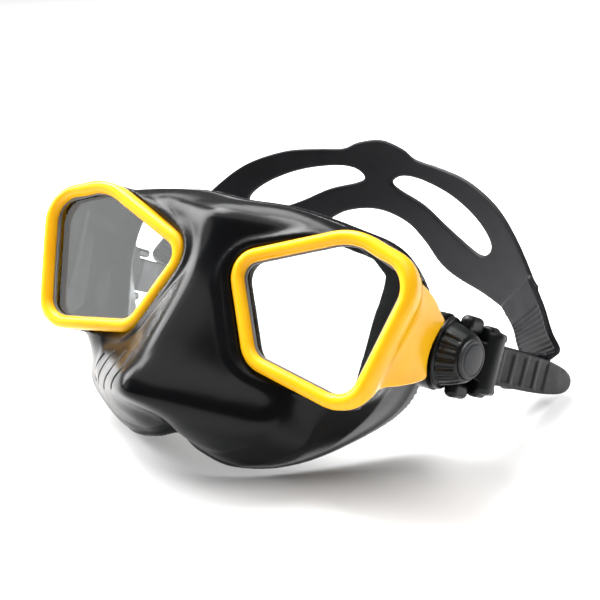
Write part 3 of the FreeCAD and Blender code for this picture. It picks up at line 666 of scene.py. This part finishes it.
def skirt_field(x, y, z):
    """Thin shell with lens flanges, nose pocket and a turned-in sealing lip."""
    out = window_distance(x, z)
    outer = smooth_max(skirt_side(x, y, z), front_depth(x, z, out) - y, 9)
    wing_face = WING_FACE + WING_FACE_SLOPE * (z - WING_FACE_HEIGHT)
    beside_wing = np.abs(x) - wing_face - WING_CLEAR
    taper = TAPER * np.maximum(y - TAPER_START, 0)
    tunnel = np.maximum(out - TUNNEL_OUT + taper, TUNNEL_FRONT - y)
    tunnel = np.maximum(tunnel, beside_wing)
    outer = smooth_min(outer, smooth_max(tunnel, y - TUNNEL_BACK, 2), 3)
    outer = even_distance(outer, SKIRT_STEP)
    shell = smooth_max(outer, -(outer + SKIRT_WALL), 0.8)
    front = np.interp(z, FACE_HEIGHTS, FACE_FRONTS)
    wide = np.interp(z, FACE_HEIGHTS, FACE_HALF_WIDTHS)
    face = front + FACE_LENGTH * (1 - np.sqrt(np.maximum(1 - (x / wide) ** 2, 0.0001)))
    behind = even_distance(y - face + 0 * x, SKIRT_STEP)
    lip = np.maximum(np.abs(behind + LIP_PLACE) - LIP_HALF,
                     np.maximum(outer, -(outer + LIP_WIDTH)))
    shell = smooth_min(shell, lip, 2.5)
    shell = smooth_max(shell, behind, 0.8)
    flange = np.maximum(np.maximum(out - FLANGE_OUT, FLANGE_FRONT - y),
                        np.maximum(y - FLANGE_BACK, beside_wing))
    shell = smooth_min(shell, flange, 1.2)
    shell = np.maximum(shell, -np.maximum(out - RIM_ROOM_OUT, y - RIM_ROOM_BACK))
    temple = np.interp(z, TEMPLE_HEIGHTS, TEMPLE_SIDES)
    low_corner = smooth_step(np.abs(x), 50, 57) * smooth_step(-z, 8, 16)
    opening = np.maximum(np.maximum(out - OPENING_OUT + low_corner * taper, np.abs(x) - temple),
                         y - OPENING_BACK)
    return smooth_max(shell, -opening, 0.6)


# Finger grips on the pocket's right flank: centre lines of thin grooves (x, z).
GRIPS = [[(-34.5, -34), (-36.8, -38.5), (-39.5, -44.5)],
         [(-27.5, -32), (-28.6, -38), (-32.6, -44.5)],
         [(-17, -30), (-18.5, -37.5), (-24, -44.5)], [(-9.5, -28.5), (-8.5, -34), (-12.5, -42)]]
GRIP_DEPTH, GRIP_WIDTH = 0.7, 0.42
GRIP_BACK, GRIP_MARGIN = 8, 2               # grips end at this depth; margin of the fine mesh


def grip_depth(places, normals):
    """How far the finger grips cut in at each point of the skirt."""
    x, z = places[:, 0], places[:, 2]
    gap = np.full(len(x), 99.0)
    for line in GRIPS:
        for (ax, az), (bx, bz) in zip(line, line[1:]):
            dx, dz = bx - ax, bz - az
            t = np.clip(((x - ax) * dx + (z - az) * dz) / (dx * dx + dz * dz), 0, 1)
            gap = np.minimum(gap, np.hypot(x - ax - t * dx, z - az - t * dz))
    outside = smooth_step(-normals[:, 1], 0.0, 0.3) * (places[:, 1] < GRIP_BACK)
    return GRIP_DEPTH * np.exp(-(gap / GRIP_WIDTH) ** 2) * outside


def skirt():
    points, faces = field_mesh(skirt_field, (-2.5 * SKIRT_STEP, -31, -64), (84, 72, 40),
                               SKIRT_STEP, 4)
    points, faces = whole(points, faces, SKIRT_STEP)
    grips = np.array(sum(GRIPS, []))
    low, high = grips.min(0) - GRIP_MARGIN, grips.max(0) + GRIP_MARGIN
    across = points[:, [0, 2]]
    chosen = np.all((across > low) & (across < high), axis=1) & (points[:, 1] < GRIP_BACK)
    points, faces = engrave(points, faces, chosen, grip_depth)
    piece = mesh_piece("skirt_shell", points, faces, SKIRT, place_mask)
    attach(piece, "mask")
    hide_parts("skirt")


frames()
skirt()

# ------------------------------------------------------------------ strap

STRAP_STEP = 0.62
STRAP_HALF = 1.2            # half thickness
STRAP_HALF_WIDTH = 7.25
ROLLER = (1.0, 24.0)        # roller axis in the buckle frame (x, y)
TURN_RADIUS = 4.5           # of the strap's middle round the roller
NEAR_END, TAIL_END = 56.0, 81.0
TAIL_SAG, SAG_START = 0.0002, 30
TAIL_THINS, TAIL_THINS_FROM = 0.5, 66
# Face view of the tail in the buckle frame (y, z).
TAIL_OUTLINE = smooth_loop([(0, 7.4), (20, 7.4), (40, 7.3), (56, 6.9), (67, 6.0), (74.5, 4.9),
                            (79.3, 3.0), (81, 0), (79.3, -3.0), (74.5, -4.9), (67, -6.0),
                            (56, -6.9), (40, -7.3), (20, -7.4), (0, -7.4)])
# Sunk panels between the cross ribs of the tail.
PANELS, PANEL_START, PANEL_PITCH = 4, 27.0, 8.4
PANEL_HALF, PANEL_SIDE, PANEL_DEPTH = 2.9, 5.4, 0.55
# Rear band: y = BAND_BACK - BAND_CURVE x^2, with its half outline and slot (x, z).
BAND_BACK, BAND_CURVE = 128.0 + STRAP_HALF, 0.004
BAND_TOP = [(0, 23), (11, 20.5), (18, 17), (30, 15.7), (45, 13.5), (61, 7), (73, -3),
            (83.5, -15.5), (86, -20)]
BAND_LOW = [(73, -36.5), (69, -34.5), (58, -32.4), (44, -30.5), (34, -26.5), (25, -18.5),
            (15, -12)]
BAND_LOW_MIDDLE = (0, -9)
SLOT = [(7, 5), (12, 8.5), (22, 8.6), (38, 5), (52, -1.5), (60, -9), (59, -14.5), (53, -16),
        (38, -10), (24, -2.5), (11, 2)]
# Outer and inner edge of the arm's inner face, from the band to the run at the buckle.
ARM_STATIONS = [
    ((84.0, 99.8, -16.0), (70.0, 108.4, -34.0)),
    ((91.5, 94.5, -25.0), (77.0, 104.3, -40.5)),
    ((97.0, 90.4, -33.0), (82.0, 101.1, -48.5)),
    ((98.8, 89.5, -39.0), (88.0, 98.2, -53.5)),
]
ARM_REACHES = (NEAR_END - 2, NEAR_END - 14)         # stations inside the run at the buckle
ARM_PIECE = 60000                                   # points measured at a time
BAND_FRONT = 88             # the band lies behind this depth
ARM_CORNER = (60, 72, -4)   # the arm lies outside, behind and below this corner
RIB_PITCH, RIB_DEPTH = 1.9, 0.5
RIB_START, RIB_END = 8.0, 28.0              # along the arm from its first station
RIB_SIDE = np.array([-0.3, -1.0, 0.2])      # the ribbed face looks this way
RIBBED_CORNER = (70, 84, -18)               # the ribs lie outside, behind and below this corner


def buckle_axes():
    """Level-frame directions of the left buckle frame's X, Y and Z axes."""
    origin, x, y, z = lean_back(out_of_buckle([[0, 0, 0], [1, 0, 0], [0, 1, 0], [0, 0, 1]]))
    return origin, x - origin, y - origin, z - origin


def arm_line(steps=14):
    """The arm, closely stepped: centres, half widths and directions across, out and along."""
    origin, out, along, across = buckle_axes()
    outer, inner = (np.array([station[k] for station in ARM_STATIONS]) for k in (0, 1))
    stops = list((outer + inner) / 2)
    across_stops = list(outer - inner)
    for reach in ARM_REACHES:
        stops.append(origin + reach * along + (ROLLER[0] - TURN_RADIUS) * out)
        across_stops.append(2 * STRAP_HALF_WIDTH * across)
    stops, across_stops = np.array(stops), np.array(across_stops)
    knots = np.arange(len(stops))
    fine = np.linspace(0, len(stops) - 1, steps * (len(stops) - 1) + 1)
    centre = np.stack([cubic(fine, knots, stops[:, k]) for k in range(3)], 1)
    wide = np.stack([cubic(fine, knots, across_stops[:, k]) for k in range(3)], 1)
    width = np.linalg.norm(wide, axis=1)
    wide /= width[:, None]
    forward = np.gradient(centre, axis=0)
    forward /= np.linalg.norm(forward, axis=1)[:, None]
    face = np.cross(forward, wide)
    face /= np.linalg.norm(face, axis=1)[:, None]
    return centre, width / 2, wide, face, forward


def arm_field(points):
    """Distance from the arm's ribbon, measured across its nearest station."""
    centre, half, wide, face, forward = arm_line()
    result = np.empty(len(points))
    for start in range(0, len(points), ARM_PIECE):
        part = points[start:start + ARM_PIECE]
        gap = ((part[:, None, :] - centre[None]) ** 2).sum(2)
        near = gap.argmin(1)
        offset = part - centre[near]
        side = np.abs((offset * wide[near]).sum(1)) - half[near]
        rise = np.abs((offset * face[near]).sum(1)) - STRAP_HALF
        past = np.abs((offset * forward[near]).sum(1)) - 2.0
        result[start:start + ARM_PIECE] = rounded_box([side, rise, past], 0.9)
    return result


def run_field(x, y, z):
    """Distance from the run under the roller, its turn and the tail, in the buckle frame."""
    dx, dy = x - ROLLER[0], y - ROLLER[1]
    turn = np.abs(np.hypot(dx, dy) - TURN_RADIUS)
    straight = np.abs(np.abs(dx) - TURN_RADIUS)
    path = np.where(dy < 0, turn, straight)
    end = np.where(dx < 0, y - NEAR_END, -99.0)
    sag = TAIL_SAG * np.maximum(y - SAG_START, 0) ** 2
    tail_side = outline_distance(TAIL_OUTLINE, y, z + sag)
    panel = np.abs((y - PANEL_START) % PANEL_PITCH - PANEL_PITCH / 2) - PANEL_HALF
    panel = np.maximum(panel, np.abs(z + sag) - PANEL_SIDE)
    panel = np.where((y > PANEL_START) & (y < PANEL_START + PANELS * PANEL_PITCH), panel, 9)
    sunk = PANEL_DEPTH * (1 - smooth_step(panel, -0.5, 0.5)) * (dx > TURN_RADIUS)
    side = np.where(dx > 0, tail_side, np.abs(z) - STRAP_HALF_WIDTH)
    thin = np.where(dx > 0, TAIL_THINS * smooth_step(y, TAIL_THINS_FROM, TAIL_END), 0)
    return rounded_box([path - STRAP_HALF + thin + sunk, side, end], 0.85)


def band_field(x, y, z):
    """Distance from the wide rear band, a curved sheet with a rounded slot on each side."""
    right = BAND_TOP[1:] + BAND_LOW
    left = [(-u, v) for u, v in right[::-1]]
    outline = smooth_loop(BAND_TOP[:1] + right + [BAND_LOW_MIDDLE] + left, 5)
    slope = 2 * BAND_CURVE * x
    sheet = np.abs(y - BAND_BACK + BAND_CURVE * x * x) / np.sqrt(1 + slope ** 2) - STRAP_HALF
    edge = outline_distance(outline, x, z) + 0 * y
    hole = outline_distance(smooth_loop(SLOT, 5), x, z)
    return rounded_box([sheet + 0 * z, edge, -hole + 0 * y], 1.0)


def half_strap_field(x, y, z):
    """Band, arm, turn and tail of the left half, in the level frame."""
    shape = np.broadcast(x, y, z).shape
    field = np.full(shape, 9.0)
    rear = y[0, :, 0] > BAND_FRONT
    field[:, rear] = band_field(x, y[:, rear], z)
    points = np.stack([np.broadcast_to(part, shape) for part in (x, y, z)], -1)
    origin, out, along, across = buckle_axes()
    local = points - origin
    run = run_field(local @ out, local @ along, local @ across)
    window = np.ix_(x[:, 0, 0] > ARM_CORNER[0], y[0, :, 0] > ARM_CORNER[1],
                    z[0, 0] < ARM_CORNER[2])
    arm = np.full(shape, 9.0)
    block = points[window]
    arm[window] = arm_field(block.reshape(-1, 3)).reshape(block.shape[:3])
    return smooth_min(smooth_min(field, arm, 0.4), run, 0.6)


def rib_depth(places, normals):
    """Ribs across the arm's inner face, below the wide band."""
    places = places.copy()
    mirrored_side = places[:, 0] < 0
    places[mirrored_side, 0] *= -1
    normals = np.where(mirrored_side[:, None], normals * (-1, 1, 1), normals)
    centre, half, wide, face, forward = arm_line()
    near = ((places[:, None, :] - centre[None]) ** 2).sum(2).argmin(1)
    offset = places - centre[near]
    along = np.concatenate([[0], np.cumsum(np.linalg.norm(np.diff(centre, axis=0), axis=1))])
    run = along[near] + (offset * forward[near]).sum(1)
    side = np.abs((offset * wide[near]).sum(1)) / half[near]
    toward = (normals * face[near]).sum(1)
    toward = np.maximum(toward * np.sign(face[near] @ RIB_SIDE), 0)
    fade = smooth_step(run, RIB_START, RIB_START + 1) * (1 - smooth_step(run, RIB_END - 1, RIB_END))
    fade = fade * (1 - smooth_step(side, 0.8, 0.92)) * smooth_step(toward, 0.5, 0.8)
    return RIB_DEPTH * (0.5 + 0.5 * np.cos(2 * math.pi * run / RIB_PITCH)) * fade


def strap():
    points, faces = field_mesh(half_strap_field, (-2.5 * STRAP_STEP, 30, -66), (106, 134, 27),
                               STRAP_STEP, 3)
    points, faces = whole(points, faces, STRAP_STEP)
    outside, behind, below = RIBBED_CORNER
    chosen = (np.abs(points[:, 0]) > outside) & (points[:, 1] > behind) & (points[:, 2] < below)
    points, faces = engrave(points, faces, chosen, rib_depth, 2)
    piece = mesh_piece("strap_shell", points, faces, STRAP, place_level)
    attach(piece, "strap")
    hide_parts("head_strap")


strap()

# ------------------------------------------------------------------ buckles

HUB_HEIGHT = 11.3
DOME_DEPTHS, DOME_RADII = [-1, 2, 5.5, 8.8, 11.3], [11.2, 11.1, 10.4, 9.2, 7.9]
FLUTES = 16
FLUTE_DEPTH = 0.75
CAP_RADIUS, CAP_SEAT_RADIUS, CAP_SINK = 7.0, 7.08, 0.8
CAP_CROWN, CAP_CURVE = 1.65, 0.014
RING_DEPTH, RING_RADIUS, RING_WIDTH = 0.3, 5.5, 0.3
HOOD, HOOD_RADIUS = (4.2, 18.8), 5.9        # axis (x, y) and radius of the hood over the strap
HALF_WIDTH = 11.4                           # of the deck and the hood
# Boxes in the buckle frame: x, y and z limits and edge radius.
DECK = (-1, 5.6), (4, 17), (-HALF_WIDTH, HALF_WIDTH), 1.6
RAIL = (-5.2, 7.2), (14, 27), (7.9, 11.5), 1.6
HOOD_STEP = (3.0, 7.6), (13.8, 21.0), (9.0, 12.9), 1.8
TAB_ROOM = (-0.3, 9), (3.3, 13.9), (6.8, 16.5), 0.4
STRAP_ROOM = (-6.5, 7.0), (17.3, 40), (-7.8, 7.8), 0.5
TAB = (0.0, 5.4), (3.6, 13.6), (8.6, 14.8), 2.4
# About the true hub axis: distances from the axis and along it.
COLLAR_RADIUS, COLLAR_MIDDLE, COLLAR_HALF, COLLAR_EDGE = 12.9, 0.95, 0.85, 0.7
CLEARED_RADIUS = 15                         # nothing of the buckle is under its hub
CLIP_ROOM_RADIUS, CLIP_ROOM_START, BORE_RADIUS = 4.3, 3.1, 2.55
CROWN_THICKNESS = 0.6                       # left between these rooms and the hub's top


def dome_field(x, y, z):
    """Rounded hub with scalloped sides and a sunk seat for its cap."""
    radius = np.hypot(y, z)
    angle = np.arctan2(z, y)
    side = cubic(x, DOME_DEPTHS, DOME_RADII)
    fade = smooth_step(x, 0.4, 1.8) * (1 - smooth_step(x, HUB_HEIGHT - 1.9, HUB_HEIGHT - 0.3))
    fade = fade * (1 - smooth_step(z / np.maximum(radius, 1), 0.6, 0.85))
    scallop = FLUTE_DEPTH * (0.5 - 0.5 * np.cos(FLUTES * angle)) ** 2 * fade
    body = rounded_box([radius - side + scallop,
                        np.abs(x - HUB_HEIGHT / 2 + 0.4) - HUB_HEIGHT / 2 - 0.4], 1.2)
    return np.maximum(body, -np.maximum(radius - CAP_SEAT_RADIUS, HUB_HEIGHT - CAP_SINK - x))


def box_field(x, y, z, x_limits, y_limits, z_limits, radius):
    """Distance from a box with rounded edges."""
    slabs = [np.abs(axis - (low + high) / 2) - (high - low) / 2
             for axis, (low, high) in ((x, x_limits), (y, y_limits), (z, z_limits))]
    return rounded_box([slab + 0 * (x + y + z) for slab in slabs], radius)


def buckle_field(x, y, z):
    """Deck, rails, hood and dome, with rooms for the tabs, strap, pin and clip."""
    height = np.abs(z)
    deck = box_field(x, y, z, *DECK)
    rail = box_field(x, y, height, *RAIL)
    hood = rounded_box([np.hypot(x - HOOD[0], y - HOOD[1]) - HOOD_RADIUS + 0 * z,
                        height - HALF_WIDTH + 0 * x], 2.2)
    step = box_field(x, y, height, *HOOD_STEP)
    body = smooth_min(smooth_min(deck, rail, 2.0), np.minimum(hood, step), 1.4)
    body = smooth_max(body, -box_field(x, y, height, *TAB_ROOM), 0.5)
    body = smooth_min(body, dome_field(x, y, z), 1.2)
    body = np.maximum(body, -box_field(x, y, z, *STRAP_ROOM))
    cos, sin = math.cos(SPLAY), math.sin(SPLAY)
    true_out, true_back = cos * x + sin * y, -sin * x + cos * y
    radius = np.hypot(true_back, z)
    collar = rounded_box([radius - COLLAR_RADIUS, np.abs(true_out - COLLAR_MIDDLE) - COLLAR_HALF],
                         COLLAR_EDGE)
    body = smooth_min(body, collar, 0.8)
    under = np.maximum(radius - CLEARED_RADIUS, true_out)
    above = x - HUB_HEIGHT + CROWN_THICKNESS
    clip_room = np.maximum(radius - CLIP_ROOM_RADIUS,
                           np.maximum(CLIP_ROOM_START - true_out, above))
    bore = np.maximum(radius - BORE_RADIUS, above)
    return np.maximum(body, -np.minimum(np.minimum(under, bore), clip_room))


def cap_field(x, y, z):
    """Slightly convex cap with a thin ring cut in its face."""
    radius = np.hypot(y, z)
    crown = HUB_HEIGHT + CAP_CROWN - CAP_CURVE * radius ** 2
    ring = RING_DEPTH * np.exp(-((radius - RING_RADIUS) / RING_WIDTH) ** 2)
    return rounded_box([radius - CAP_RADIUS, x - crown + ring, HUB_HEIGHT - CAP_SINK - x], 0.7)


def upper_tab_field(x, y, z):
    return box_field(x, y, z, *TAB)


def lower_tab_field(x, y, z):
    return upper_tab_field(x, y, -z)


def buckles():
    """Both buckles: each piece is meshed once and mirrored for the right-hand side."""
    pieces = [
        ("buckle_shell", buckle_field, (-7, -14, -14), (12.8, 29, 14), 0.36, BLACK, "buckle_body",
         "black_plastic", "buckle"),
        ("cap_shell", cap_field, (9.6, -8, -8), (14, 8, 8), 0.22, CAP, "hub_cap", "cap_plastic",
         "buckle"),
        ("upper_tab_shell", upper_tab_field, (-1, 2.6, 7.6), (6.4, 14.6, 15.8), 0.3, TAB_RUBBER,
         "upper_release_tab", "tab_rubber", "upper_tab"),
        ("lower_tab_shell", lower_tab_field, (-1, 2.6, -15.8), (6.4, 14.6, -7.6), 0.3, TAB_RUBBER,
         "lower_release_tab", "tab_rubber", "lower_tab"),
    ]
    for name, field, low, high, step, look, node_name, slot, body in pieces:
        points, faces = field_mesh(field, low, high, step, 2)
        for side, mirror in (("left", False), ("right", True)):
            piece = mesh_piece(f"{name}_{side}", points, faces, look, place_buckle, mirror)
            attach(piece, f"{side}_{body}")
            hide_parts(f"{node_name}_{side}")


buckles()

# ------------------------------------------------------------------ carried-over CAD pieces

CAD_LOOKS = {
    "lens": GLASS, "lens_seal": GREY_SEAL, "lens_retainer": BLACK, "pivot_pin": STEEL,
    "friction_washer": NYLON, "pivot_clip": STEEL, "roller_axle": STEEL, "strap_roller": BLACK,
    "hub_base": BLACK,
}
for node_name, node in frame["nodes"].items():
    kind = node_name.replace("_left", "").replace("_right", "")
    if kind in CAD_LOOKS:
        node.data.materials.clear()
        node.data.materials.append(CAD_LOOKS[kind])
